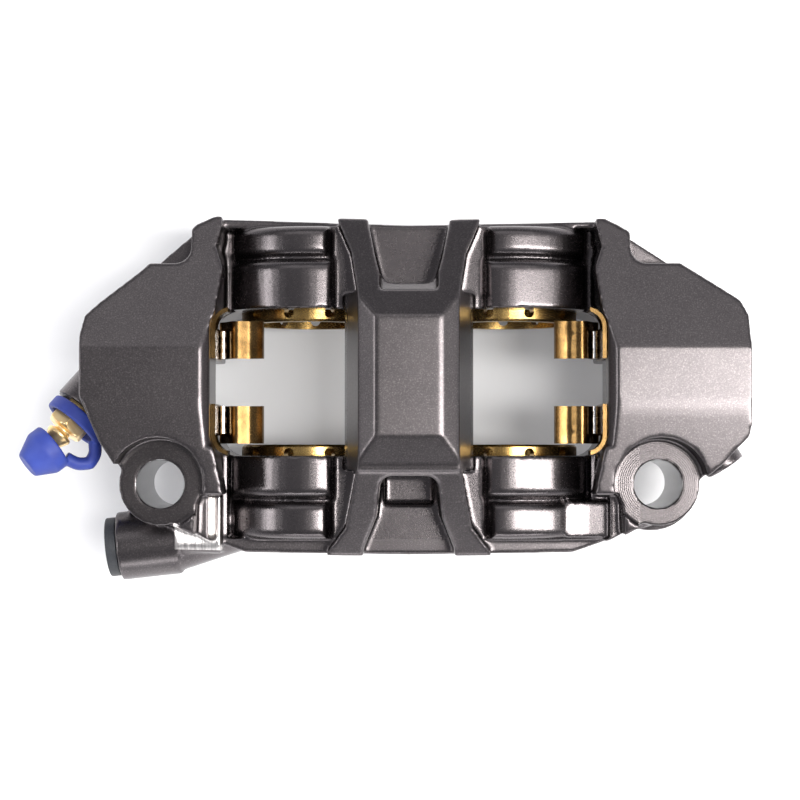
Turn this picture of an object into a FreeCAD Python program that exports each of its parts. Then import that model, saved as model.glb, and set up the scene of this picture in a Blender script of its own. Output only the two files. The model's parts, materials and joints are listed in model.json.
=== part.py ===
import FreeCAD, Part
import math
import os
from FreeCAD import Vector

# Four-piston radial-mount motorcycle brake caliper, millimetres.
# Origin: middle of the two mounting bolts, on the face of the lugs that meets the fork bracket.
# +X runs along the caliper, +Y from the lugs towards the far half, +Z away from the wheel hub.

# Driving dimensions
BOLT_PITCH = 108.0
BOLT_HOLE_R = 5.2
LUG_R = 9.0
LUG_TOP = 32.0
LUG_FOOT_R = 10.6
LUG_FOOT_TOP = 18.0
DISC_Y = 22.2
SLOT_HALF = 5.2
SLOT_ROOF = 29.5
SLOT_ROOF_R = 162.0
BODY_BOTTOM = -12.5
BRIDGE_TOP = 47.0
CHEEK_TOP = 40.0
CHEEK_TOE = 38.2
TOE_Y = -2.3
CREASE_Y = 16.5
CREASE_EASE = 1.7

# Pad bay and the two windows over it
BAY_X = 42.7
BAY_HALF = 16.1
BAY_CORNER_R = 4.5
WINDOW_X = 14.1
BRIDGE_ROOF = 30.0

# Pistons and their bores
PISTON_R = 16.0
PISTON_X = 22.0
PISTON_Z = 10.0
PISTON_FRONT = 13.6
PISTON_LENGTH = 17.0
PISTON_WALL = 2.6
PISTON_FLOOR = 4.0
BORE_CLEARANCE = 0.05
BORE_END = 33.4
VENT_COUNT = 11
VENT_R = 1.15
VENT_FROM_FRONT = 1.9
SEAL_CLEARANCE = 0.02
SEAL_GROOVE_R = 18.0
SEAL_SLACK = 0.05
DUST_SEAL = (18.0, 1.5)
FLUID_SEAL = (21.6, 2.4)
LOBE_R = 22.5

# Piston housings seen through the windows
HOUSING_INNER_X = 16.5
HOUSING_OUTER_X = 39.0
HOUSING_LONG_X = 51.0
HOUSING_GROOVE_NEAR = 25.2
HOUSING_GROOVE_FAR = 26.7
HOUSING_OUTER_END = 34.2
HOUSING_DROP = 1.0
GROOVE_WIDTH = 0.7
GROOVE_DEPTH = 2.3
SHOULDER_R = 2.0
RECESS_FLOOR = 28.4
CHANNEL_FLOOR = 19.0

# Abutment plates
PLATE_T = 0.9
PLATE_TOP = 36.6
PLATE_BOTTOM = 21.5
PLATE_NEAR = 5.2
PLATE_FAR = 13.4
LEAF_Z = 28.4
LEAF_END_X = 32.0
PLATE_GAP = 0.15
PIN_R = 0.75

# Bleed screw, brake line port and drilled passages
BLEED_FACE = Vector(-73.1, 16.1, 21.0)
BLEED_AXIS = Vector(-0.62, -0.74, 0.26)
BLEED_BOSS_R = 6.45
BLEED_THREAD_R = 3.6
BLEED_SHANK = 6.8
HEX_FLATS = 8.0
HEX_START = 0.4
HEX_LENGTH = 5.2
BARB_R = 3.0
NIPPLE_R = 1.9
CAP_RING_R = 7.0
CAP_RING_WALL = 1.3
CAP_RING_START = 0.8
CAP_RING_WIDTH = 3.0
CAP_RING_SAG = Vector(0.58, -0.48, 0.0)
CAP_MOUTH = Vector(-78.5, 8.4, 24.3)
CAP_AXIS = Vector(-0.74, -0.60, 0.30)
CAP_R = 5.3
CAP_SKIRT = 3.0
CAP_CONE = 4.4
CAP_TIP_R = 2.95
CAP_WALL = 1.5
STRAP_POINTS = [(-70.2, 9.8, 21.8), (-69.7, 6.6, 22.1), (-70.8, 4.3, 22.6), (-73.4, 4.0, 23.4), (-75.8, 5.6, 24.2)]
STRAP_R = 1.5
PORT_FACE = Vector(-65.0, -14.2, 15.0)
PORT_AXIS = Vector(-0.994, -0.11, 0.0)
PORT_ARM_AXIS = Vector(0.95, 0.312, 0.0)
PORT_BOSS_R = 7.65
RAMP_X0 = -52.0
RAMP_X1 = -41.3
RAMP_LOW = 22.4
RAMP_HIGH = 27.2
RAMP_Y = -15.4
PORT_THREAD_R = 4.6
UPPER_PASSAGE = Vector(68.4, 41.6, 25.0)
UPPER_PASSAGE_AXIS = Vector(0.47, 0.88, 0.0)
LOWER_PASSAGE = Vector(70.4, 3.6, 20.0)
LOWER_PASSAGE_AXIS = Vector(0.55, -0.835, 0.0)
PASSAGE_BOSS_R = 4.6
PASSAGE_HOLE_R = 2.95


def prism(points, bottom, top):
    """A polygon in plan, pulled up from bottom to top."""
    corners = [Vector(x, y, bottom) for x, y in points]
    return Part.Face(Part.makePolygon(corners + corners[:1])).extrude(Vector(0, 0, top - bottom))


def side_prism(points, x0, x1):
    """A polygon of (y, z) points, pulled along X."""
    corners = [Vector(x0, y, z) for y, z in points]
    return Part.Face(Part.makePolygon(corners + corners[:1])).extrude(Vector(x1 - x0, 0, 0))


def front_prism(points, y0, y1):
    """A polygon of (x, z) points, pulled along Y."""
    corners = [Vector(x, y0, z) for x, z in points]
    return Part.Face(Part.makePolygon(corners + corners[:1])).extrude(Vector(0, y1 - y0, 0))


def block(x0, x1, y0, y1, z0, z1):
    return Part.makeBox(x1 - x0, y1 - y0, z1 - z0, Vector(x0, y0, z0))


def rod(start, axis, radius, length):
    return Part.makeCylinder(radius, length, start, axis)


def tube(start, axis, outer, inner, length):
    return rod(start, axis, outer, length).cut(rod(start, axis, inner, length))


def union(shapes):
    return shapes[0].fuse(shapes[1:]).removeSplitter()


def mirrored(shape):
    """The same shape at the other end of the caliper."""
    return shape.mirror(Vector(0, 0, 0), Vector(1, 0, 0))


def across(shape):
    """The same shape on the other side of the disc."""
    return shape.mirror(Vector(0, DISC_Y, 0), Vector(0, 1, 0))


def upright(edge):
    """True for a straight edge that runs along Z."""
    if edge.Curve.TypeId != "Part::GeomLine":
        return False
    return abs(edge.tangentAt(edge.FirstParameter).z) > 0.999


def round_upright(shape, radius, keep=lambda point: True):
    """Rounds the edges that run along Z and whose middle passes keep."""
    edges = [e for e in shape.Edges if upright(e) and keep(e.CenterOfMass)]
    return shape.makeFillet(radius, edges)


def lobe_height(x, radius):
    """Height of a cylinder around the right-hand piston axis."""
    return PISTON_Z + math.sqrt(radius ** 2 - (x - PISTON_X) ** 2)


def crowned_block(x0, x1, y0, y1, radius):
    """A block along Y whose top follows the piston, rounded along its shoulders and over both ends."""
    left, right = (Vector(x, y0, lobe_height(x, radius)) for x in (x0, x1))
    crown = Part.Arc(left, Vector(PISTON_X, y0, PISTON_Z + radius), right).toShape()
    sides = Part.makePolygon([right, Vector(x1, y0, 0), Vector(x0, y0, 0), left])
    solid = Part.Face(Part.Wire([crown] + sides.Edges)).extrude(Vector(0, y1 - y0, 0))
    return solid.makeFillet(SHOULDER_R, [e for e in solid.Edges if e.BoundBox.ZMin > min(left.z, right.z) - 0.01])


def side_silhouette():
    """What the caliper may fill when it is seen from the side: two piston lobes and raised ends."""
    ends = prism([(-78, -30), (78, -30), (78, 70), (-78, 70)], 0, BRIDGE_TOP)
    belly = block(-7.5, 7.5, -30, 70, -7, 1)
    lobes = [rod(Vector(x, -30, PISTON_Z), Vector(0, 1, 0), LOBE_R, 100) for x in (-PISTON_X, PISTON_X)]
    whole = union([ends, belly] + lobes)
    corner = front_prism([(66, -1), (80, -1), (80, 14)], -40, 80)
    return whole.cut([corner, mirrored(corner)])


def plan():
    """The outline seen from above."""
    right = [(35.9, -15.1), (44.2, -12.2), (50, -9), (60.5, -1.2), (67, 4.2), (69.9, 7.4), (72.7, 10.3), (73.3, 13),
             (73.3, 29), (72.9, 36.3), (71.2, 39.6), (66.5, 42.7), (46, 56.0), (42.5, 57.8)]
    left = [(-42, 58.4), (-46, 56.6), (-54.5, 49.4), (-58, 46), (-66.1, 39.5), (-69.6, 36.3), (-70.6, 32), (-70.6, 19),
            (-66.5, 9.4), (-60.5, 0), (-50, -9), (-44.2, -12.2), (-35.9, -15.1)]
    return right + [(0, 57.0)] + left + [(0, -15.6)]


def envelope():
    """The outline pulled up to full height, with its corners rounded."""
    return round_upright(prism(plan(), BODY_BOTTOM, BRIDGE_TOP), 1.2)


def cheek_roof():
    """The space under the three top faces of an end block; the near crease is eased by two short facets."""
    fall = (CHEEK_TOP - CHEEK_TOE) / (CREASE_Y - TOE_Y)
    eased = [(CREASE_Y - CREASE_EASE, CHEEK_TOP - fall * CREASE_EASE), (CREASE_Y, CHEEK_TOP - fall * CREASE_EASE / 4),
             (CREASE_Y + CREASE_EASE, CHEEK_TOP)]
    top = [(-30, 33), (TOE_Y, CHEEK_TOE)] + eased + [(29.5, CHEEK_TOP), (60, 31.5), (60, 0), (-30, 0)]
    return side_prism(top, 0, 100)


def cheek(side):
    """One end block: flat along the middle, sloping down towards both long sides."""
    inner = [(BAY_X, 13), (BAY_X, 30), (40.2, 46.8), (41.8, 51.5), (40.7, 56), (40.7, 70)]
    shape = prism(inner + [(90, 70), (90, -30), (47, -30), (46, TOE_Y), (39.8, TOE_Y)], 14, CHEEK_TOP)
    hollow = block(30, HOUSING_OUTER_X + 2.2, -30, 70, 10, CHANNEL_FLOOR + 8)
    shape = shape.cut(hollow)
    shape = shape.common(cheek_roof())
    lip = front_prism([(BAY_X - 3, 60), (BAY_X - 3, 35.2), (BAY_X + 1.8, CHEEK_TOP), (BAY_X + 1.8, 60)], 8, 34)
    shape = shape.cut(lip)
    return shape if side > 0 else mirrored(shape)


def bridge():
    """The arms over the disc: narrow in the middle, flaring towards both long sides."""
    half = [(10.8, 5), (10.8, 40), (12.4, 50), (15.2, 56.5), (21, 70), (0, 70), (0, -30),
            (21, -30), (17.5, -14.5), (13.5, -9)]
    right = prism(half, 20, BRIDGE_TOP)
    whole = union([right, mirrored(right)])
    top = [(-17, 34), (10.3, BRIDGE_TOP), (35.7, BRIDGE_TOP), (60, 34), (60, 0), (-17, 0)]
    whole = whole.common(side_prism(top, -40, 40))
    flank = [(-7, BRIDGE_TOP), (7, BRIDGE_TOP), (10.8, 44.5), (30, 42), (30, 0), (-30, 0), (-30, 42), (-10.8, 44.5)]
    whole = whole.common(front_prism(flank, -40, 80))
    web = [(-10.8, 44), (10.8, 44), (WINDOW_X, BRIDGE_ROOF), (WINDOW_X, 20), (-WINDOW_X, 20), (-WINDOW_X, BRIDGE_ROOF)]
    return union([whole, front_prism(web, DISC_Y - BAY_HALF - 3, DISC_Y + BAY_HALF + 3)])


def housing(groove):
    """One right-hand piston housing on the far side of the disc: two crowned blocks with a groove between them."""
    start, step, end = (DISC_Y + d for d in (BAY_HALF - 4, groove, HOUSING_OUTER_END))
    inner = crowned_block(HOUSING_INNER_X, HOUSING_OUTER_X, start, step, LOBE_R)
    outer = crowned_block(HOUSING_INNER_X + 1, HOUSING_OUTER_X, step + GROOVE_WIDTH, end, LOBE_R - HOUSING_DROP)
    core = rod(Vector(PISTON_X, start, PISTON_Z), Vector(0, 1, 0), LOBE_R - GROOVE_DEPTH, end - start - 1)
    core = core.common(block(HOUSING_INNER_X + 0.5, HOUSING_OUTER_X - 0.5, start, end, 0, 60))
    return union([inner, outer, core])


def long_housing():
    """The near right housing, whose outer block runs out to a blunt point beside the lug."""
    y0, y1 = DISC_Y - HOUSING_OUTER_END, DISC_Y - HOUSING_GROOVE_NEAR - GROOVE_WIDTH
    start_x = PISTON_X + 12.3
    height = lobe_height(start_x, LOBE_R - HOUSING_DROP) - 0.1
    profile = [(start_x, height), (HOUSING_OUTER_X, height - 0.9), (HOUSING_LONG_X, height - 0.9), (HOUSING_LONG_X, 0),
               (start_x, 0)]
    run = front_prism(profile, y0 + 0.1, y1 - 0.1)
    tip = [(start_x, y0), (39.6, y0), (43.5, y0 + 0.6), (48.8, y0 + 4.1), (45.4, y1 - 1.2), (43.5, y1 - 0.3),
           (start_x, y1)]
    return union([across(housing(HOUSING_GROOVE_NEAR)), run.common(prism(tip, -1, BRIDGE_TOP))])


def base():
    """Everything under the housings: the outline up to the floors of the recesses and the rims."""
    shape = block(-90, 90, -30, 90, BODY_BOTTOM, RECESS_FLOOR)
    well = block(HOUSING_INNER_X + 2, BAY_X + 1.2, DISC_Y - HOUSING_OUTER_END, DISC_Y + HOUSING_OUTER_END,
                 CHANNEL_FLOOR, 60)
    rim = block(-BAY_X, BAY_X, DISC_Y + HOUSING_OUTER_END, 90, RECESS_FLOOR - 3, 60)
    return shape.cut([well, mirrored(well), rim, across(rim)])


def lugs():
    """The two mounting lugs, each with a wider foot."""
    shapes = []
    for side in (-1, 1):
        centre = Vector(side * BOLT_PITCH / 2, 0, 0)
        shapes.append(rod(centre, Vector(0, 0, 1), LUG_R, LUG_TOP))
        shapes.append(rod(centre, Vector(0, 0, 1), LUG_FOOT_R, LUG_FOOT_TOP))
        wall = [(side * 54, -9), (side * 54, 10), (side * 40, 10), (side * 40, -13)]
        shapes.append(prism(wall if side > 0 else wall[::-1], 0, LUG_TOP - 7))
    return shapes


def port_boss():
    """The brake line boss, the arm that bends from it into the body, and the ramp milled beside the lug."""
    boss = rod(PORT_FACE, -PORT_AXIS, PORT_BOSS_R, 13.5)
    arm = rod(PORT_FACE - PORT_AXIS * 10, PORT_ARM_AXIS, PORT_BOSS_R - 0.15, 21)
    profile = [(RAMP_X0, RAMP_LOW), (RAMP_X1, RAMP_HIGH), (RAMP_X1, 0), (RAMP_X0, 0)]
    ramp = front_prism(profile, RAMP_Y, -3.0)
    crest = [e for e in ramp.Edges if e.BoundBox.YMax < RAMP_Y + 0.01 and e.BoundBox.ZMin > RAMP_LOW - 0.01]
    return [boss, arm, ramp.makeFillet(2.4, crest)]


def bleed_boss():
    return [rod(BLEED_FACE, -BLEED_AXIS, BLEED_BOSS_R, 14)]


def passage_bosses():
    return [rod(LOWER_PASSAGE, -LOWER_PASSAGE_AXIS, PASSAGE_BOSS_R, 10)]


def pad_bay():
    """The open bay for the pads, with its two windows through the top."""
    inside = block(-BAY_X, BAY_X, DISC_Y - BAY_HALF, DISC_Y + BAY_HALF, -30, 60)
    inside = round_upright(inside, BAY_CORNER_R)
    keep = [(-10.8, 44), (10.8, 44), (WINDOW_X, BRIDGE_ROOF), (-WINDOW_X, BRIDGE_ROOF)]
    over = [block(-10.8, 10.8, -30, 80, 43, 60), front_prism(keep, -30, 80)]
    return inside.cut(over)


def disc_slot():
    """The arched slot that the brake disc runs in."""
    centre = Vector(0, DISC_Y - SLOT_HALF, SLOT_ROOF - SLOT_ROOF_R)
    return rod(centre, Vector(0, 1, 0), SLOT_ROOF_R, 2 * SLOT_HALF)


def bridge_notches():
    """The U-shaped openings at both ends of the bridge, each with a stepped floor."""
    far = prism([(-5.6, 43), (5.6, 43), (7, 48), (9.4, 59.8), (9.4, 75), (-9.4, 75), (-9.4, 59.8), (-7, 48)], 25.5, 60)
    far = round_upright(far, 3.5, lambda p: p.y < 44)
    far_step = front_prism([(-6.2, 38), (6.2, 38), (6.2, 60), (-6.2, 60)], 41.3, 46)
    near = prism([(-6, 1.8), (6, 1.8), (7, -7), (9.8, -14), (9.8, -30), (-9.8, -30), (-9.8, -14), (-7, -7)], 25.5, 60)
    near = round_upright(near, 2.5, lambda p: p.y > 1)
    near_ledge = block(-5.4, 5.4, -4.5, 1.8, 22, 40)
    ramp = side_prism([(41, 47), (41, 44), (47.5, 30), (47.5, 47)], -6.2, 6.2)
    return [far, far_step.common(ramp), near, near_ledge]


def corner_pockets():
    """The small pockets milled into both far corners."""
    left = prism([(-47.2, 47.8), (-47.2, 70), (-70, 70), (-70, 47.8)], 24, 60)
    right = prism([(48, 47.8), (70, 47.8), (70, 70), (48, 70)], 24, 60)
    return [round_upright(left, 3.5, lambda p: p.x > -50 and p.y < 50),
            round_upright(right, 3.5, lambda p: p.x < 50 and p.y < 50)]


def lug_spotfaces():
    """Bolt holes, the flat seats for the bolt heads, and the room for a socket over them."""
    cuts = []
    for side in (-1, 1):
        centre = Vector(side * BOLT_PITCH / 2, 0, 0)
        cuts.append(rod(centre - Vector(0, 0, 30), Vector(0, 0, 1), BOLT_HOLE_R, 120))
        cuts.append(rod(centre + Vector(0, 0, LUG_TOP), Vector(0, 0, 1), LUG_R + 1.0, 40))
    return cuts


def bores():
    """Piston bores with their seal grooves, and the drilled passages between them."""
    cuts = []
    for side in (-1, 1):
        axis = Vector(0, side, 0)
        for x in (-PISTON_X, PISTON_X):
            start = Vector(x, DISC_Y, PISTON_Z)
            cuts.append(rod(start, axis, PISTON_R + BORE_CLEARANCE, BORE_END))
            for depth, width in (DUST_SEAL, FLUID_SEAL):
                cuts.append(rod(start + axis * depth, axis, SEAL_GROOVE_R, width))
        link_y = DISC_Y + side * (BORE_END - 2.5)
        cuts.append(rod(Vector(-PISTON_X, link_y, PISTON_Z), Vector(1, 0, 0), 2.0, 2 * PISTON_X))
    return cuts


def ports():
    """Threaded ports: bleed screw, brake line and the two angled passages."""
    cuts = [rod(BLEED_FACE + BLEED_AXIS * 2, -BLEED_AXIS, BLEED_THREAD_R, 2 + BLEED_SHANK + 0.4),
            rod(BLEED_FACE + BLEED_AXIS * 2, -BLEED_AXIS, BLEED_THREAD_R + 1.4, 3),
            rod(PORT_FACE + PORT_AXIS * 2, -PORT_AXIS, PORT_THREAD_R, 22),
            rod(PORT_FACE + PORT_AXIS * 2, -PORT_AXIS, 1.6, 36),
            rod(UPPER_PASSAGE + UPPER_PASSAGE_AXIS * 12, -UPPER_PASSAGE_AXIS, PASSAGE_BOSS_R, 12),
            rod(UPPER_PASSAGE + UPPER_PASSAGE_AXIS * 12, -UPPER_PASSAGE_AXIS, PASSAGE_HOLE_R, 18),
            rod(LOWER_PASSAGE + LOWER_PASSAGE_AXIS * 2, -LOWER_PASSAGE_AXIS, PASSAGE_HOLE_R, 13)]
    return cuts


def caliper_body():
    solid = union([base(), cheek(-1), cheek(1), bridge()])
    far, near = housing(HOUSING_GROOVE_FAR), housing(HOUSING_GROOVE_NEAR)
    solid = union([solid, far, mirrored(far), across(mirrored(near)), long_housing()])
    solid = union([solid.common(envelope())] + lugs())
    solid = solid.common(side_silhouette())
    solid = union([solid] + port_boss() + bleed_boss() + passage_bosses())
    cuts = [pad_bay(), disc_slot()] + bridge_notches() + corner_pockets() + lug_spotfaces() + bores() + ports()
    for cut in cuts:
        solid = solid.cut(cut)
    return solid


def piston(x, side):
    """One cup, open towards the disc, with a ring of vent holes behind the rim."""
    axis = Vector(0, side, 0)
    front = Vector(x, DISC_Y + side * PISTON_FRONT, PISTON_Z)
    shape = rod(front, axis, PISTON_R, PISTON_LENGTH)
    shape = shape.makeChamfer(0.5, [e for e in shape.Edges if len(e.Vertexes) == 1])
    shape = shape.cut(rod(front - axis, axis, PISTON_R - PISTON_WALL, PISTON_LENGTH - PISTON_FLOOR + 1))
    hub = front + axis * VENT_FROM_FRONT
    for k in range(VENT_COUNT):
        angle = 2 * math.pi * (k + 0.5) / VENT_COUNT
        shape = shape.cut(rod(hub, Vector(math.sin(angle), 0, math.cos(angle)), VENT_R, PISTON_R + 2))
    return shape


def seal(x, side, place):
    """A square-section ring in its groove."""
    depth, width = place
    axis = Vector(0, side, 0)
    start = Vector(x, DISC_Y + side * (depth + SEAL_SLACK), PISTON_Z)
    return tube(start, axis, SEAL_GROOVE_R - SEAL_SLACK, PISTON_R + SEAL_CLEARANCE, width - 2 * SEAL_SLACK)


def waved_leaf(points, y0, y1):
    """Sheet metal that follows a smooth line of (x, z) points, pulled along Y."""
    upper = Part.BSplineCurve()
    upper.interpolate([Vector(x, y0, z) for x, z in points])
    lower = Part.BSplineCurve()
    lower.interpolate([Vector(x - 0.25, y0, z - PLATE_T) for x, z in points])
    first, last = Vector(*upper.StartPoint), Vector(*upper.EndPoint)
    ends = [Part.makeLine(first, lower.StartPoint), Part.makeLine(last, lower.EndPoint)]
    outline = Part.Wire(Part.__sortEdges__([upper.toShape(), lower.toShape()] + ends))
    return Part.Face(outline).extrude(Vector(0, y1 - y0, 0))


def abutment_plate():
    """Formed plate in the right end, on the far side of the disc: a leg on the end wall and a waved leaf."""
    near, far = DISC_Y + PLATE_NEAR, DISC_Y + PLATE_FAR
    bend_y = DISC_Y + BAY_HALF - BAY_CORNER_R
    face = BAY_X - PLATE_GAP
    root = face - PLATE_T
    leg = block(root, face, near - 0.3, bend_y, PLATE_BOTTOM, PLATE_TOP)
    corner = Vector(BAY_X - BAY_CORNER_R, bend_y, PLATE_TOP - 6.0)
    radius = BAY_CORNER_R - PLATE_GAP
    curl = tube(corner, Vector(0, 0, 1), radius, radius - PLATE_T, 6.0)
    curl = curl.common(block(corner.x + 0.8, BAY_X, bend_y, bend_y + BAY_CORNER_R, 0, 60))
    leaf = waved_leaf([(root + 0.2, LEAF_Z - 4.3), (39.6, LEAF_Z - 1.0), (38.4, LEAF_Z + 0.5), (36.9, LEAF_Z + 0.5),
                       (35.2, LEAF_Z - 0.3), (33.6, LEAF_Z - 0.2), (LEAF_END_X, LEAF_Z + 0.5)], near, far)
    return union([leg, curl, leaf])


def plate_pin():
    """A small steel pin between the leg and the leaf, with three collars."""
    start = Vector(BAY_X - PLATE_GAP - PLATE_T - PIN_R - 0.1, DISC_Y + PLATE_NEAR, LEAF_Z - 1.0)
    along = Vector(0, 1, 0)
    shape = rod(start, along, PIN_R - 0.15, 6.0)
    return union([shape] + [rod(start + along * d, along, PIN_R, 1.2) for d in (0.0, 2.4, 4.8)])


def hexagon(start, axis, flats, length):
    """A hexagonal bar."""
    across_corners = flats / math.sqrt(3)
    axis = Vector(axis).normalize()
    side = axis.cross(Vector(0, 0, 1)).normalize()
    other = axis.cross(side)
    corners = []
    for k in range(7):
        angle = math.pi * k / 3
        corners.append(start + side * across_corners * math.cos(angle) + other * across_corners * math.sin(angle))
    return Part.Face(Part.makePolygon(corners)).extrude(axis * length)


def bleed_screw():
    """Threaded shank, hexagon and hose nipple, with its drilled centre."""
    axis = Vector(BLEED_AXIS).normalize()
    face = BLEED_FACE + axis * HEX_START
    front = face + axis * HEX_LENGTH
    head = hexagon(face, axis, HEX_FLATS, HEX_LENGTH)
    shank = rod(face, -axis, BLEED_THREAD_R - 0.1, BLEED_SHANK)
    neck = rod(front, axis, NIPPLE_R, 1.2)
    barb = Part.makeCone(BARB_R, NIPPLE_R - 0.2, 2.8, front + axis * 1.2, axis)
    shape = union([head, shank, neck, barb])
    return shape.cut(rod(front + axis * 8, -axis, 0.9, 8 + HEX_LENGTH + BLEED_SHANK - 1.5))


def bleed_cap():
    """The rubber cap perched on the nipple, with its strap and the ring that hangs round the hexagon."""
    axis = Vector(BLEED_AXIS).normalize()
    ring = tube(BLEED_FACE + axis * CAP_RING_START + CAP_RING_SAG, axis, CAP_RING_R, CAP_RING_R - CAP_RING_WALL,
                CAP_RING_WIDTH)
    cap_axis = Vector(CAP_AXIS).normalize()
    skirt = rod(CAP_MOUTH, cap_axis, CAP_R, CAP_SKIRT)
    cone = Part.makeCone(CAP_R, CAP_TIP_R, CAP_CONE, CAP_MOUTH + cap_axis * CAP_SKIRT, cap_axis)
    hollow = rod(CAP_MOUTH - cap_axis, cap_axis, CAP_R - CAP_WALL, CAP_SKIRT + 2.4)
    points = [Vector(*point) for point in STRAP_POINTS]
    strap = [rod(a, b - a, STRAP_R, (b - a).Length) for a, b in zip(points, points[1:])]
    elbows = [Part.makeSphere(STRAP_R, point) for point in points]
    cavity = rod(BLEED_FACE + CAP_RING_SAG, axis, CAP_RING_R - CAP_RING_WALL, 8)
    band = union(strap + elbows).cut([cavity, hollow])
    return union([skirt.fuse(cone).cut(hollow), ring, band])


def port_plug():
    """Plastic plug with a flange and a push-in shank."""
    axis = Vector(PORT_AXIS).normalize()
    flange = rod(PORT_FACE + axis * 0.1, axis, 6.65, 2.5)
    shank = rod(PORT_FACE + axis * 0.2, -axis, PORT_THREAD_R - 0.08, 12)
    recess = rod(PORT_FACE + axis * 3, -axis, 3.2, 9)
    return union([flange, shank]).cut(recess)


def passage_plug(start, axis, depth):
    """A pressed-in plug that closes a drilled passage."""
    axis = Vector(axis).normalize()
    return rod(start - axis * depth, -axis, PASSAGE_HOLE_R - 0.03, 3.5)


def end_name(x):
    return "left" if x < 0 else "right"


def side_name(side):
    return "far" if side > 0 else "near"


def parts():
    """Every piece by its name."""
    made = {"caliper_body": caliper_body()}
    for x in (-PISTON_X, PISTON_X):
        for side in (-1, 1):
            name = side_name(side) + "_" + end_name(x)
            made["piston_" + name] = piston(x, side)
            made["dust_seal_" + name] = seal(x, side, DUST_SEAL)
            made["fluid_seal_" + name] = seal(x, side, FLUID_SEAL)
            for label, shape in (("abutment_plate_", abutment_plate()), ("plate_pin_", plate_pin())):
                shape = shape if x > 0 else mirrored(shape)
                made[label + name] = shape if side > 0 else across(shape)
    made["bleed_screw"] = bleed_screw()
    made["bleed_cap"] = bleed_cap()
    made["port_plug"] = port_plug()
    made["upper_passage_plug"] = passage_plug(UPPER_PASSAGE, UPPER_PASSAGE_AXIS, 0.8)
    made["lower_passage_plug"] = passage_plug(LOWER_PASSAGE, LOWER_PASSAGE_AXIS, 4.0)
    return made


def main():
    os.makedirs("parts", exist_ok=True)
    for name, shape in parts().items():
        print(name, shape.isValid(), len(shape.Solids), round(shape.Volume))
        shape.exportStep(os.path.join("parts", name + ".step"))


main()
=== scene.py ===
import json
import math

import bmesh
import bpy
from mathutils import Matrix, Vector


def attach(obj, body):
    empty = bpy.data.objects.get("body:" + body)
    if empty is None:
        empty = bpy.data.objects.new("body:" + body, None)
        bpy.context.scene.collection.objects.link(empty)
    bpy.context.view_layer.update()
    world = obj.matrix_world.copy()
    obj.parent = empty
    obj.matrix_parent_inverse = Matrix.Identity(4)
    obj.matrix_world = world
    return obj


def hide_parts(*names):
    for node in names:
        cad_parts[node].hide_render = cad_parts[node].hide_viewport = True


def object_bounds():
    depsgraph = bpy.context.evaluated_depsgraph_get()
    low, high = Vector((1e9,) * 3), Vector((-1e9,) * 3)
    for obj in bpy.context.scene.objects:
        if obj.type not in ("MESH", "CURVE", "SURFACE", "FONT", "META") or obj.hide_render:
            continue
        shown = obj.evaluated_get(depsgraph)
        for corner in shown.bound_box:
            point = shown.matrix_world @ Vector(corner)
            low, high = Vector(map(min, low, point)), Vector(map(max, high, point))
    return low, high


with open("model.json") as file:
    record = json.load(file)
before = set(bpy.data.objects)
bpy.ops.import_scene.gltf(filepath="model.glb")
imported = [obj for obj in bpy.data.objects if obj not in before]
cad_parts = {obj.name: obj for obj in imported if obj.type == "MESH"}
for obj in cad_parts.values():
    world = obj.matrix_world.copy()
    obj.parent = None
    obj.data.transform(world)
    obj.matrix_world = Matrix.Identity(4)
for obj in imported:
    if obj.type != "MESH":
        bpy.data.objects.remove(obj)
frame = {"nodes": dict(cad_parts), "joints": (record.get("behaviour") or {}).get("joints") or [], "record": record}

cad_low, cad_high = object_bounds()
MM = 0.001

# ---------------------------------------------------------------- camera, floor and lights

CAMERA_AT = Vector((1.1, 6.3, 482.0)) * MM
CAMERA_AIM = Vector((-0.00675, 0.02653, -1.0))
CAMERA_LENS = 93.3
SENSOR = 36.0
CLIP_NEAR = 0.01
CLIP_FAR = 20.0
LIGHTS_AIM = (0.0, 0.01, 0.02)
FLOOR_HALF = 3.0
HORIZON = (0.98, 0.99, 1.03, 1)
OVERHEAD = (0.30, 0.30, 0.32, 1)


def make_camera():
    """The camera: nearly straight down on the bridge from 0.48 m."""
    data = bpy.data.cameras.new("camera")
    data.lens = CAMERA_LENS
    data.sensor_width = SENSOR
    data.clip_start = CLIP_NEAR
    data.clip_end = CLIP_FAR
    camera = bpy.data.objects.new("camera", data)
    back = -CAMERA_AIM.normalized()
    right = Vector((0, 1, 0)).cross(back).normalized()
    up = back.cross(right)
    camera.matrix_world = Matrix.Translation(CAMERA_AT) @ Matrix((right, up, back)).transposed().to_4x4()
    bpy.context.scene.collection.objects.link(camera)
    bpy.context.scene.camera = camera


def area_light(name, at, size, power, tint=(1.0, 1.0, 1.0)):
    """A rectangular light, size in metres and power in watts, turned towards the middle of the object."""
    data = bpy.data.lights.new(name, "AREA")
    data.shape = "RECTANGLE"
    data.size, data.size_y = size
    data.energy = power
    data.color = tint
    light = bpy.data.objects.new(name, data)
    light.location = at
    light.rotation_euler = (Vector(LIGHTS_AIM) - Vector(at)).to_track_quat("-Z", "Y").to_euler()
    bpy.context.scene.collection.objects.link(light)
    return light


def make_lights():
    """A long softbox over the right end, strips at both sides, and a fill that only the pale floor shows."""
    area_light("softbox_over_right", (0.60, -0.045, 1.0), (0.16, 1.0), 17, (1.0, 0.985, 0.96))
    area_light("strip_left", (-0.75, 0.0, 0.62), (0.45, 0.14), 2.0)
    area_light("softbox_far", (0.0, 0.70, 1.1), (1.6, 0.5), 1.9)
    area_light("strip_near", (0.10, -1.0, 0.45), (1.2, 0.20), 4)
    fill = area_light("fill", (0.0, 0.0, 1.6), (1.6, 1.6), 14)
    fill.visible_glossy = False


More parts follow.
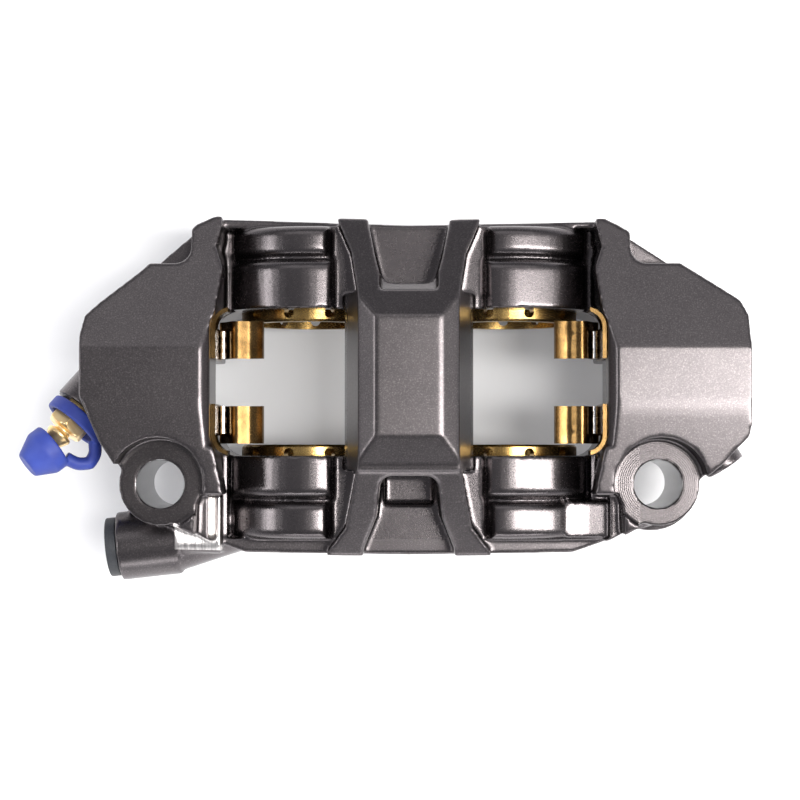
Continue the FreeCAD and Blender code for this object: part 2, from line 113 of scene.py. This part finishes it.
def make_world():
    """A pale tent: bright near the horizon, dark overhead."""
    world = bpy.data.worlds.new("studio")
    bpy.context.scene.world = world
    world.use_nodes = True
    nodes, links = world.node_tree.nodes, world.node_tree.links
    nodes.clear()
    coords = nodes.new("ShaderNodeTexCoord")
    split = nodes.new("ShaderNodeSeparateXYZ")
    ramp = nodes.new("ShaderNodeValToRGB")
    background = nodes.new("ShaderNodeBackground")
    output = nodes.new("ShaderNodeOutputWorld")
    links.new(coords.outputs["Generated"], split.inputs[0])
    links.new(split.outputs["Z"], ramp.inputs[0])
    links.new(ramp.outputs["Color"], background.inputs["Color"])
    links.new(background.outputs[0], output.inputs[0])
    low, high = ramp.color_ramp.elements
    low.position, low.color = 0.10, HORIZON
    high.position, high.color = 0.38, OVERHEAD
    background.inputs["Strength"].default_value = 1.0


def make_floor():
    """A plain white table top just under the object."""
    half = FLOOR_HALF
    z = cad_low[2]
    corners = [(-half, -half, z), (half, -half, z), (half, half, z), (-half, half, z)]
    mesh = bpy.data.meshes.new("floor")
    mesh.from_pydata(corners, [], [(0, 1, 2, 3)])
    floor = bpy.data.objects.new("floor", mesh)
    bpy.context.scene.collection.objects.link(floor)
    material, shader, _ = new_material("floor_white")
    shader.inputs["Base Color"].default_value = (0.93, 0.93, 0.94, 1)
    shader.inputs["Roughness"].default_value = 0.6
    mesh.materials.append(material)


# ---------------------------------------------------------------- material helpers

class Nodes:
    """Short names for building a node tree on one material."""

    def __init__(self, tree):
        self.tree = tree
        self.coords = tree.nodes.new("ShaderNodeTexCoord").outputs["Object"]

    def link(self, a, b):
        self.tree.links.new(a, b)

    def noise(self, size_mm, detail=3.0, roughness=0.55, stretch=(1, 1, 1)):
        """Noise whose patches are about size_mm across, drawn out along an axis by a small stretch value."""
        mapping = self.tree.nodes.new("ShaderNodeMapping")
        mapping.inputs["Scale"].default_value = stretch
        node = self.tree.nodes.new("ShaderNodeTexNoise")
        node.inputs["Scale"].default_value = 1.0 / (size_mm * MM)
        node.inputs["Detail"].default_value = detail
        node.inputs["Roughness"].default_value = roughness
        self.link(self.coords, mapping.inputs[0])
        self.link(mapping.outputs[0], node.inputs["Vector"])
        return node.outputs["Fac"]

    def ramp(self, value, stops):
        """A colour for each value, from (place, colour) stops."""
        node = self.tree.nodes.new("ShaderNodeValToRGB")
        elements = node.color_ramp.elements
        while len(elements) < len(stops):
            elements.new(0.5)
        for element, (place, colour) in zip(elements, stops):
            element.position = place
            element.color = (*colour, 1)
        self.link(value, node.inputs[0])
        return node.outputs["Color"]

    def span(self, value, low, high):
        """A value from 0 to 1 turned into one from low to high."""
        node = self.tree.nodes.new("ShaderNodeMapRange")
        node.inputs["To Min"].default_value = low
        node.inputs["To Max"].default_value = high
        self.link(value, node.inputs["Value"])
        return node.outputs["Result"]

    def math(self, operation, a, b=None):
        node = self.tree.nodes.new("ShaderNodeMath")
        node.operation = operation
        for socket, value in zip(node.inputs, (a, b)):
            if isinstance(value, (int, float)):
                socket.default_value = value
            elif value is not None:
                self.link(value, socket)
        return node.outputs[0]

    def mix(self, factor, a, b):
        node = self.tree.nodes.new("ShaderNodeMix")
        node.data_type = "RGBA"
        self.link(factor, node.inputs["Factor"])
        for socket, value in ((node.inputs[6], a), (node.inputs[7], b)):
            if isinstance(value, tuple):
                socket.default_value = (*value, 1)
            else:
                self.link(value, socket)
        return node.outputs[2]

    def bump(self, height, strength, distance_mm, normal=None):
        node = self.tree.nodes.new("ShaderNodeBump")
        node.inputs["Strength"].default_value = strength
        node.inputs["Distance"].default_value = distance_mm * MM
        self.link(height, node.inputs["Height"])
        if normal is not None:
            self.link(normal, node.inputs["Normal"])
        return node.outputs["Normal"]

    def split(self):
        node = self.tree.nodes.new("ShaderNodeSeparateXYZ")
        self.link(self.coords, node.inputs[0])
        return node.outputs["X"], node.outputs["Y"], node.outputs["Z"]

    def distance_from_axis(self, x_mm, y_mm):
        """Distance in metres from an upright axis."""
        x, y, _ = self.split()
        dx = self.math("SUBTRACT", x, x_mm * MM)
        dy = self.math("SUBTRACT", y, y_mm * MM)
        squares = self.math("ADD", self.math("MULTIPLY", dx, dx), self.math("MULTIPLY", dy, dy))
        return self.math("SQRT", squares)


def new_material(name):
    """A new material, its shader, and short names for its node tree."""
    material = bpy.data.materials.new(name)
    material.use_nodes = True
    shader = material.node_tree.nodes["Principled BSDF"]
    return material, shader, Nodes(material.node_tree)


# ---------------------------------------------------------------- materials

LUG_X = 54.0
LUG_HOLE_R = 5.2
LUG_SEAT_R = 9.6
LUG_SEAT_LOW = 31.3
BARE_MARGIN = 0.12
TURNING_PITCH = 0.42
BARE_METAL = (0.50, 0.50, 0.50)
# painted shade: near-black that darkens the lug tops to dim their reflection of the lamps
LUG_TOP_PAINTED_SHADE = (0.03, 0.027, 0.027)
MILLED_X = (-40.5, 50.0)
MILLED_Y = (-12.2, 56.4)
MILLED_Z = (18.0, 33.2)
FACET_X = (-51.9, -41.2)
FACET_Y = (-14.6, -3.0)
FACET_Z = (21.0, 27.6)


def within(n, value, limits_mm):
    """1 where a coordinate lies between two values, 0 elsewhere."""
    low, high = limits_mm
    above = n.math("GREATER_THAN", value, low * MM)
    below = n.math("LESS_THAN", value, high * MM)
    return n.math("MULTIPLY", above, below)


def inside_box(n, x_mm, y_mm, z_mm):
    """1 inside a box given by its limits along each axis, 0 elsewhere."""
    x, y, z = n.split()
    flat = n.math("MULTIPLY", within(n, x, x_mm), within(n, y, y_mm))
    return n.math("MULTIPLY", flat, within(n, z, z_mm))


def lug_masks(n):
    """The bare metal of the bolt holes, the turned tops of the lugs (where shade is painted), and the turning
    rings on those tops.
    """
    bare, turned, rings = None, None, None
    _, _, z = n.split()
    top = n.math("GREATER_THAN", z, LUG_SEAT_LOW * MM)
    for x in (-LUG_X, LUG_X):
        distance = n.distance_from_axis(x, 0.0)
        hole = n.math("LESS_THAN", distance, (LUG_HOLE_R + BARE_MARGIN) * MM)
        seat = n.math("MULTIPLY", n.math("LESS_THAN", distance, LUG_SEAT_R * MM), top)
        wave = n.math("SINE", n.math("MULTIPLY", distance, 2 * math.pi / (TURNING_PITCH * MM)))
        wave = n.math("MULTIPLY", wave, seat)
        bare = hole if bare is None else n.math("MAXIMUM", bare, hole)
        turned = seat if turned is None else n.math("MAXIMUM", turned, seat)
        rings = wave if rings is None else n.math("ADD", rings, wave)
    return bare, turned, rings


def anodised_material():
    """Dark brown-grey anodised aluminium: blasted, smoother where it is milled, bare in the bolt holes, with
    painted shade on the lug tops.
    """
    material, shader, n = new_material("anodised_body")
    grain = n.noise(0.30, 2.0, 0.6)
    cloud = n.noise(9.0, 3.0)
    milled = inside_box(n, MILLED_X, MILLED_Y, MILLED_Z)
    facet = inside_box(n, FACET_X, FACET_Y, FACET_Z)
    bare, turned, rings = lug_masks(n)
    speck = n.ramp(grain, [
        (0.30, (0.075, 0.068, 0.071)),
        (0.55, (0.120, 0.109, 0.112)),
        (0.80, (0.26, 0.236, 0.236)),
    ])
    shade = n.ramp(cloud, [(0.3, (0.102, 0.092, 0.095)), (0.7, (0.128, 0.116, 0.118))])
    colour = n.mix(n.math("MULTIPLY", n.span(grain, 0.30, 0.80), n.span(milled, 1.0, 0.25)), shade, speck)
    marks = n.noise(0.55, 2.0, 0.5, stretch=(1, 0.03, 0.3))
    colour = n.mix(facet, colour, n.ramp(marks, [(0.35, (0.46, 0.44, 0.43)), (0.65, (0.93, 0.89, 0.86))]))
    # painted shade: the lug tops are pulled towards near-black
    colour = n.mix(n.math("MULTIPLY", turned, 0.45), colour, LUG_TOP_PAINTED_SHADE)
    colour = n.mix(bare, colour, BARE_METAL)
    n.link(colour, shader.inputs["Base Color"])
    shader.inputs["Metallic"].default_value = 1.0
    rough = n.span(n.noise(0.6, 3.0), 0.25, 0.36)
    rough = n.math("MULTIPLY", rough, n.span(milled, 1.0, 0.86))
    n.link(rough, shader.inputs["Roughness"])
    blasted = n.bump(grain, 0.20, 0.05)
    lathe = n.bump(rings, 0.16, 0.03, blasted)
    scored = n.bump(n.math("MULTIPLY", marks, facet), 0.5, 0.12, lathe)
    n.link(scored, shader.inputs["Normal"])
    return material


GOLD_ROUGHNESS = 0.24
PISTON_DARK, PISTON_LIGHT = (0.30, 0.185, 0.06), (0.52, 0.35, 0.13)
# the plates' gold is far darker than the pistons': partly its own tone, partly painted shade for plates that lie
# in shade in the windows
PLATE_DARK, PLATE_LIGHT = (0.10, 0.058, 0.021), (0.22, 0.135, 0.052)


def gold_material(name, stretch, dark, light):
    """Gold-coloured metal with fine tooling lines along one direction."""
    material, shader, n = new_material(name)
    lines = n.noise(0.5, 4.0, 0.6, stretch=stretch)
    cloud = n.noise(4.0, 2.0)
    n.link(n.ramp(cloud, [(0.3, dark), (0.7, light)]), shader.inputs["Base Color"])
    shader.inputs["Metallic"].default_value = 1.0
    n.link(n.span(lines, GOLD_ROUGHNESS - 0.05, GOLD_ROUGHNESS + 0.09), shader.inputs["Roughness"])
    n.link(n.bump(lines, 0.10, 0.02), shader.inputs["Normal"])
    return material


def steel_material():
    """Bright turned steel, for the pins that hold the plates."""
    material, shader, n = new_material("bright_steel")
    lines = n.noise(0.4, 3.0, 0.6, stretch=(1, 6, 1))
    colour = n.ramp(lines, [(0.3, (0.42, 0.42, 0.43)), (0.7, (0.66, 0.66, 0.67))])
    n.link(colour, shader.inputs["Base Color"])
    shader.inputs["Metallic"].default_value = 1.0
    n.link(n.span(lines, 0.18, 0.34), shader.inputs["Roughness"])
    n.link(n.bump(lines, 0.1, 0.02), shader.inputs["Normal"])
    return material


def brass_material():
    """Pale yellow passivated metal of the bleed screw."""
    material, shader, n = new_material("passivated_brass")
    lines = n.noise(0.35, 4.0, 0.65)
    cloud = n.noise(2.5, 3.0)
    colour = n.ramp(cloud, [(0.35, (0.95, 0.68, 0.32)), (0.65, (1.0, 0.80, 0.46))])
    n.link(colour, shader.inputs["Base Color"])
    shader.inputs["Metallic"].default_value = 1.0
    n.link(n.span(lines, 0.32, 0.48), shader.inputs["Roughness"])
    n.link(n.bump(lines, 0.15, 0.02), shader.inputs["Normal"])
    return material


def blue_rubber_material():
    """Matt blue rubber of the bleed cap."""
    material, shader, n = new_material("blue_rubber")
    skin = n.noise(0.5, 4.0, 0.6)
    cloud = n.noise(5.0, 2.0)
    colour = n.ramp(cloud, [(0.3, (0.020, 0.036, 0.23)), (0.7, (0.030, 0.058, 0.32))])
    n.link(colour, shader.inputs["Base Color"])
    n.link(n.span(skin, 0.48, 0.66), shader.inputs["Roughness"])
    shader.inputs["Subsurface Weight"].default_value = 0.08
    shader.inputs["Subsurface Radius"].default_value = (0.0006, 0.0008, 0.002)
    n.link(n.bump(skin, 0.12, 0.03), shader.inputs["Normal"])
    return material


def dark_moulded_material(name, base):
    """Dull black plastic or rubber, a little uneven in shade."""
    material, shader, n = new_material(name)
    skin = n.noise(0.35, 3.0, 0.6)
    darker = tuple(part * 0.7 for part in base)
    lighter = tuple(part * 1.5 for part in base)
    n.link(n.ramp(skin, [(0.3, darker), (0.7, lighter)]), shader.inputs["Base Color"])
    n.link(n.span(skin, 0.40, 0.60), shader.inputs["Roughness"])
    n.link(n.bump(skin, 0.15, 0.03), shader.inputs["Normal"])
    return material


def copper_material():
    """Dull reddish plugs of the drilled passages."""
    material, shader, n = new_material("copper_plug")
    cloud = n.noise(1.2, 3.0)
    colour = n.ramp(cloud, [(0.3, (0.16, 0.07, 0.045)), (0.7, (0.42, 0.20, 0.12))])
    n.link(colour, shader.inputs["Base Color"])
    shader.inputs["Metallic"].default_value = 1.0
    n.link(n.span(cloud, 0.35, 0.55), shader.inputs["Roughness"])
    return material


# ---------------------------------------------------------------- pieces

WELD_REACH = 0.002 * MM
MERGE_REACH = 0.0001 * MM
BODY_VOXEL = 0.40
BODY_SMOOTHING = 5


def link_piece(name, mesh, body):
    """A new piece that rides on a body."""
    piece = bpy.data.objects.new(name, mesh)
    bpy.context.scene.collection.objects.link(piece)
    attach(piece, body)
    return piece


def softened(node, name, voxel_mm, smooth_rounds):
    """A copy of a CAD node's mesh with all its edges lightly rounded, as a machined and blasted part has."""
    source = frame["nodes"][node]
    draft = bpy.data.objects.new(name + "_draft", source.data.copy())
    bpy.context.scene.collection.objects.link(draft)
    weld = draft.modifiers.new("weld", "WELD")
    weld.merge_threshold = WELD_REACH
    remesh = draft.modifiers.new("remesh", "REMESH")
    remesh.mode = "VOXEL"
    remesh.voxel_size = voxel_mm * MM
    remesh.use_smooth_shade = True
    smooth = draft.modifiers.new("smooth", "SMOOTH")
    smooth.factor = 0.5
    smooth.iterations = smooth_rounds
    mesh = bpy.data.meshes.new_from_object(draft.evaluated_get(bpy.context.evaluated_depsgraph_get()))
    bpy.data.objects.remove(draft)
    mesh.name = name
    for polygon in mesh.polygons:
        polygon.use_smooth = True
    return mesh


def rounded(points, radius_mm, steps=5):
    """A line of (along, radius) points with each inner corner replaced by an arc."""
    made = [points[0]]
    for before, corner, after in zip(points, points[1:], points[2:]):
        a, c, b = Vector(before), Vector(corner), Vector(after)
        to_a, to_b = (a - c), (b - c)
        reach = min(radius_mm, to_a.length * 0.45, to_b.length * 0.45)
        start, end = c + to_a.normalized() * reach, c + to_b.normalized() * reach
        for k in range(steps + 1):
            t = k / steps
            made.append(tuple(start * (1 - t) ** 2 + c * 2 * t * (1 - t) + end * t ** 2))
    made.append(points[-1])
    return made


def axis_frame(axis):
    """Two directions square to an axis."""
    side = axis.cross(Vector((0, 0, 1))).normalized()
    return side, axis.cross(side)


def spin(builder, origin, axis, rings, segments=96):
    """Adds rings to a bmesh: each ring is (along, radius), where radius may be a function of the angle."""
    side, other = axis_frame(axis)
    loops = []
    for along, radius in rings:
        loop = []
        for k in range(segments):
            angle = 2 * math.pi * k / segments
            reach = radius(angle) if callable(radius) else radius
            out = side * math.cos(angle) + other * math.sin(angle)
            loop.append(builder.verts.new(origin + (axis * along + out * reach) * MM))
        loops.append(loop)
    for one, two in zip(loops, loops[1:]):
        for k in range(segments):
            m = (k + 1) % segments
            builder.faces.new((one[k], one[m], two[m], two[k]))
    return loops


def close_ends(builder, loops):
    """Caps the first and the last ring of a tube."""
    builder.faces.new(loops[0])
    builder.faces.new(list(reversed(loops[-1])))


def finished_mesh(builder, name, smooth_angle=None):
    """Turns a bmesh into a smooth-shaded mesh, keeping edges sharper than an angle in degrees."""
    bmesh.ops.recalc_face_normals(builder, faces=builder.faces)
    mesh = bpy.data.meshes.new(name)
    builder.to_mesh(mesh)
    builder.free()
    mesh.shade_smooth()
    if smooth_angle is not None:
        mesh.set_sharp_from_angle(angle=math.radians(smooth_angle))
    return mesh


def joint_row(name):
    """A joint of the frame, by its name."""
    return next(joint for joint in frame["joints"] if joint["name"] == name)


def joint_axis(name):
    """The direction a joint slides along or turns about."""
    return Vector(joint_row(name)["axis"]).normalized()


def hinge_place(name):
    """A point on a hinge's axis. A slide has none."""
    return Vector(joint_row(name)["pos_m"])


def hexagon_radius(flats_mm):
    """The distance from the middle of a hexagon to its side, at any angle."""
    def reach(angle):
        return flats_mm / 2 / math.cos((angle + math.pi / 6) % (math.pi / 3) - math.pi / 6)
    return reach


# the bleed screw, as (along, radius) points in millimetres
HEX_START, HEX_END = 0.4, 5.6
HEX_FLATS, HEX_CORNER = 8.0, 4.62
HEX_RINGS = 16
CORNER_CUT = 0.62
CORNER_SLOPE = 1.15
SHANK_PROFILE = [(-6.4, 0.9), (-6.4, 2.8), (-5.8, 3.45), (0.2, 3.45), (0.35, 3.9)]
BARB_PROFILE = [(5.62, 3.3), (5.75, 1.9), (6.5, 1.9), (6.85, 2.9), (7.5, 2.95), (9.4, 1.9), (9.6, 1.5)]
BARB_ROUNDING = 0.3
DRILLING_PROFILE = [(9.6, 1.1), (9.4, 0.9), (-6.4, 0.9)]


def make_bleed_screw(material):
    """Hexagon with turned-down corners, undercut, hose barb and a drilled end."""
    axis, place = joint_axis("bleed_screw_turn"), hinge_place("bleed_screw_turn")
    builder = bmesh.new()
    side = hexagon_radius(HEX_FLATS)
    rings = []
    for k in range(HEX_RINGS + 1):
        along = HEX_START + (HEX_END - HEX_START) * k / HEX_RINGS
        from_end = min(along - HEX_START, HEX_END - along)
        turned = HEX_CORNER - CORNER_CUT + from_end * CORNER_SLOPE
        rings.append((along, lambda angle, limit=turned: min(side(angle), limit)))
    barb = rounded(BARB_PROFILE, BARB_ROUNDING)
    spin(builder, place, axis, SHANK_PROFILE + rings + barb + DRILLING_PROFILE, segments=120)
    bmesh.ops.remove_doubles(builder, verts=builder.verts, dist=MERGE_REACH)
    mesh = finished_mesh(builder, "bleed_nipple", smooth_angle=35)
    piece = link_piece("bleed_nipple", mesh, "bleed_screw_body")
    piece.data.materials.append(material)
    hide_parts("bleed_screw")


def tube_along(builder, points, radius_mm, flatten, segments=20):
    """A round or flattened cord of rubber along smooth points, closed at both ends."""
    count = len(points)
    loops = []
    for k, point in enumerate(points):
        ahead = (points[min(k + 1, count - 1)] - points[max(k - 1, 0)]).normalized()
        side, other = axis_frame(ahead)
        loop = []
        for m in range(segments):
            angle = 2 * math.pi * m / segments
            out = side * math.cos(angle) + other * math.sin(angle) * flatten
            loop.append(builder.verts.new(point + out * radius_mm * MM))
        loops.append(loop)
    for one, two in zip(loops, loops[1:]):
        for m in range(segments):
            n = (m + 1) % segments
            builder.faces.new((one[m], one[n], two[n], two[m]))
    close_ends(builder, loops)


def bezier(points, steps=24):
    """Points along one cubic curve through four handles."""
    a, b, c, d = points
    made = []
    for k in range(steps + 1):
        t = k / steps
        made.append(a * (1 - t) ** 3 + b * 3 * t * (1 - t) ** 2 + c * 3 * t * t * (1 - t) + d * t ** 3)
    return made


def remeshed(mesh, name, voxel_mm, rounds):
    """One smooth skin over overlapping closed shells."""
    draft = bpy.data.objects.new(name + "_draft", mesh)
    bpy.context.scene.collection.objects.link(draft)
    remesh = draft.modifiers.new("remesh", "REMESH")
    remesh.mode = "VOXEL"
    remesh.voxel_size = voxel_mm * MM
    smooth = draft.modifiers.new("smooth", "SMOOTH")
    smooth.factor = 0.5
    smooth.iterations = rounds
    made = bpy.data.meshes.new_from_object(draft.evaluated_get(bpy.context.evaluated_depsgraph_get()))
    bpy.data.objects.remove(draft)
    made.name = name
    made.shade_smooth()
    return made


# the rubber cap: profiles as (along, radius) points, the strap as points in space, all in millimetres
CAP_MOUTH = Vector((-78.5, 8.4, 24.3)) * MM
CAP_AXIS = Vector((-0.74, -0.60, 0.30)).normalized()
CUP_PROFILE = [(5.4, 0.0), (5.4, 3.1), (0.0, 3.8), (0.0, 5.3), (3.0, 5.3), (7.4, 2.95), (7.4, 0.0)]
CUP_ROUNDING = 0.4
RING_PROFILE = [(0.8, 5.7), (0.8, 7.0), (3.8, 7.0), (3.8, 5.7), (0.8, 5.7)]
RING_ROUNDING = 0.45
RING_SAG = Vector((0.58, -0.48, 0.0)) * MM
STRAP = [
    (-69.9, 9.6, 21.8),
    (-69.5, 6.6, 22.1),
    (-70.8, 4.5, 22.6),
    (-73.4, 4.2, 23.4),
    (-75.9, 5.7, 24.2),
]
STRAP_R = 1.45
STRAP_FLATNESS = 1.2
RUBBER_VOXEL = 0.22
RUBBER_SMOOTHING = 4


def make_bleed_cap(material):
    """Moulded rubber: a cup on the nipple, a flat strap, and a loop that hangs round the hexagon."""
    axis, place = joint_axis("bleed_screw_turn"), hinge_place("bleed_screw_turn")
    builder = bmesh.new()
    spin(builder, CAP_MOUTH, CAP_AXIS, rounded(CUP_PROFILE, CUP_ROUNDING), segments=72)
    spin(builder, place + RING_SAG, axis, rounded(RING_PROFILE, RING_ROUNDING))
    bmesh.ops.remove_doubles(builder, verts=builder.verts, dist=MERGE_REACH)
    path = [Vector(point) * MM for point in STRAP]
    first_leg = bezier([path[0], path[1], path[1], path[2]])
    second_leg = bezier([path[2], path[3], path[3], path[4]])
    tube_along(builder, first_leg + second_leg[1:], STRAP_R, STRAP_FLATNESS)
    mesh = remeshed(finished_mesh(builder, "cap_draft"), "dust_cap", RUBBER_VOXEL, RUBBER_SMOOTHING)
    piece = link_piece("dust_cap", mesh, "bleed_cap_body")
    piece.data.materials.append(material)
    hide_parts("bleed_cap")


PLUG_FACE = Vector((-65.0, -14.2, 15.0)) * MM
PLUG_SHANK = [
    (-12.0, 3.2),
    (-12.0, 4.3),
    (-8.0, 4.5),
    (-7.4, 4.2),
    (-5.0, 4.5),
    (-4.4, 4.2),
    (-1.0, 4.5),
    (0.1, 4.5),
]
PLUG_FLANGE = [(0.1, 6.6), (2.55, 6.6), (2.55, 3.4), (1.7, 3.2)]
PLUG_HOLLOW = [(-6.0, 3.0), (-6.0, 0.0)]
PLUG_ROUNDING = 0.35


def make_port_plug(material):
    """Push-in transport plug: flange with a soft edge, hollow shank with sealing ribs."""
    axis = joint_axis("port_plug_pull")
    builder = bmesh.new()
    profile = PLUG_SHANK + PLUG_FLANGE + PLUG_HOLLOW
    spin(builder, PLUG_FACE, axis, rounded(profile, PLUG_ROUNDING))
    bmesh.ops.remove_doubles(builder, verts=builder.verts, dist=MERGE_REACH)
    mesh = finished_mesh(builder, "transport_plug", smooth_angle=40)
    piece = link_piece("transport_plug", mesh, "port_plug_body")
    piece.data.materials.append(material)
    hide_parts("port_plug")


def make_body(material):
    """The machined body with its edges lightly rounded."""
    mesh = softened("caliper_body", "caliper_casting", BODY_VOXEL, BODY_SMOOTHING)
    mesh.materials.clear()
    mesh.materials.append(material)
    piece = link_piece("machined_body", mesh, "caliper")
    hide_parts("caliper_body")


def dress_nodes(materials):
    """Gives each CAD node that stays the material of its slot."""
    slots = {part["node"]: part["material_slot"] for part in frame["record"]["subparts"]}
    for node, item in frame["nodes"].items():
        item.data.materials.clear()
        item.data.materials.append(materials[slots[node]])


def main():
    make_camera()
    make_world()
    make_floor()
    make_lights()
    materials = {
        "anodised_body": anodised_material(),
        "gold_piston": gold_material("gold_piston", (1, 6, 1), PISTON_DARK, PISTON_LIGHT),
        # plate gold: partly its own tone, partly painted shade
        "gold_plate": gold_material("gold_plate", (8, 1, 8), PLATE_DARK, PLATE_LIGHT),
        "steel": steel_material(),
        "brass": brass_material(),
        "blue_rubber": blue_rubber_material(),
        "black_plastic": dark_moulded_material("black_plastic", (0.020, 0.022, 0.026)),
        "seal_rubber": dark_moulded_material("seal_rubber", (0.012, 0.012, 0.012)),
        "copper": copper_material(),
    }
    dress_nodes(materials)
    make_body(materials["anodised_body"])
    make_bleed_screw(materials["brass"])
    make_bleed_cap(materials["blue_rubber"])
    make_port_plug(materials["black_plastic"])
    bpy.context.scene.view_settings.view_transform = "Standard"


main()
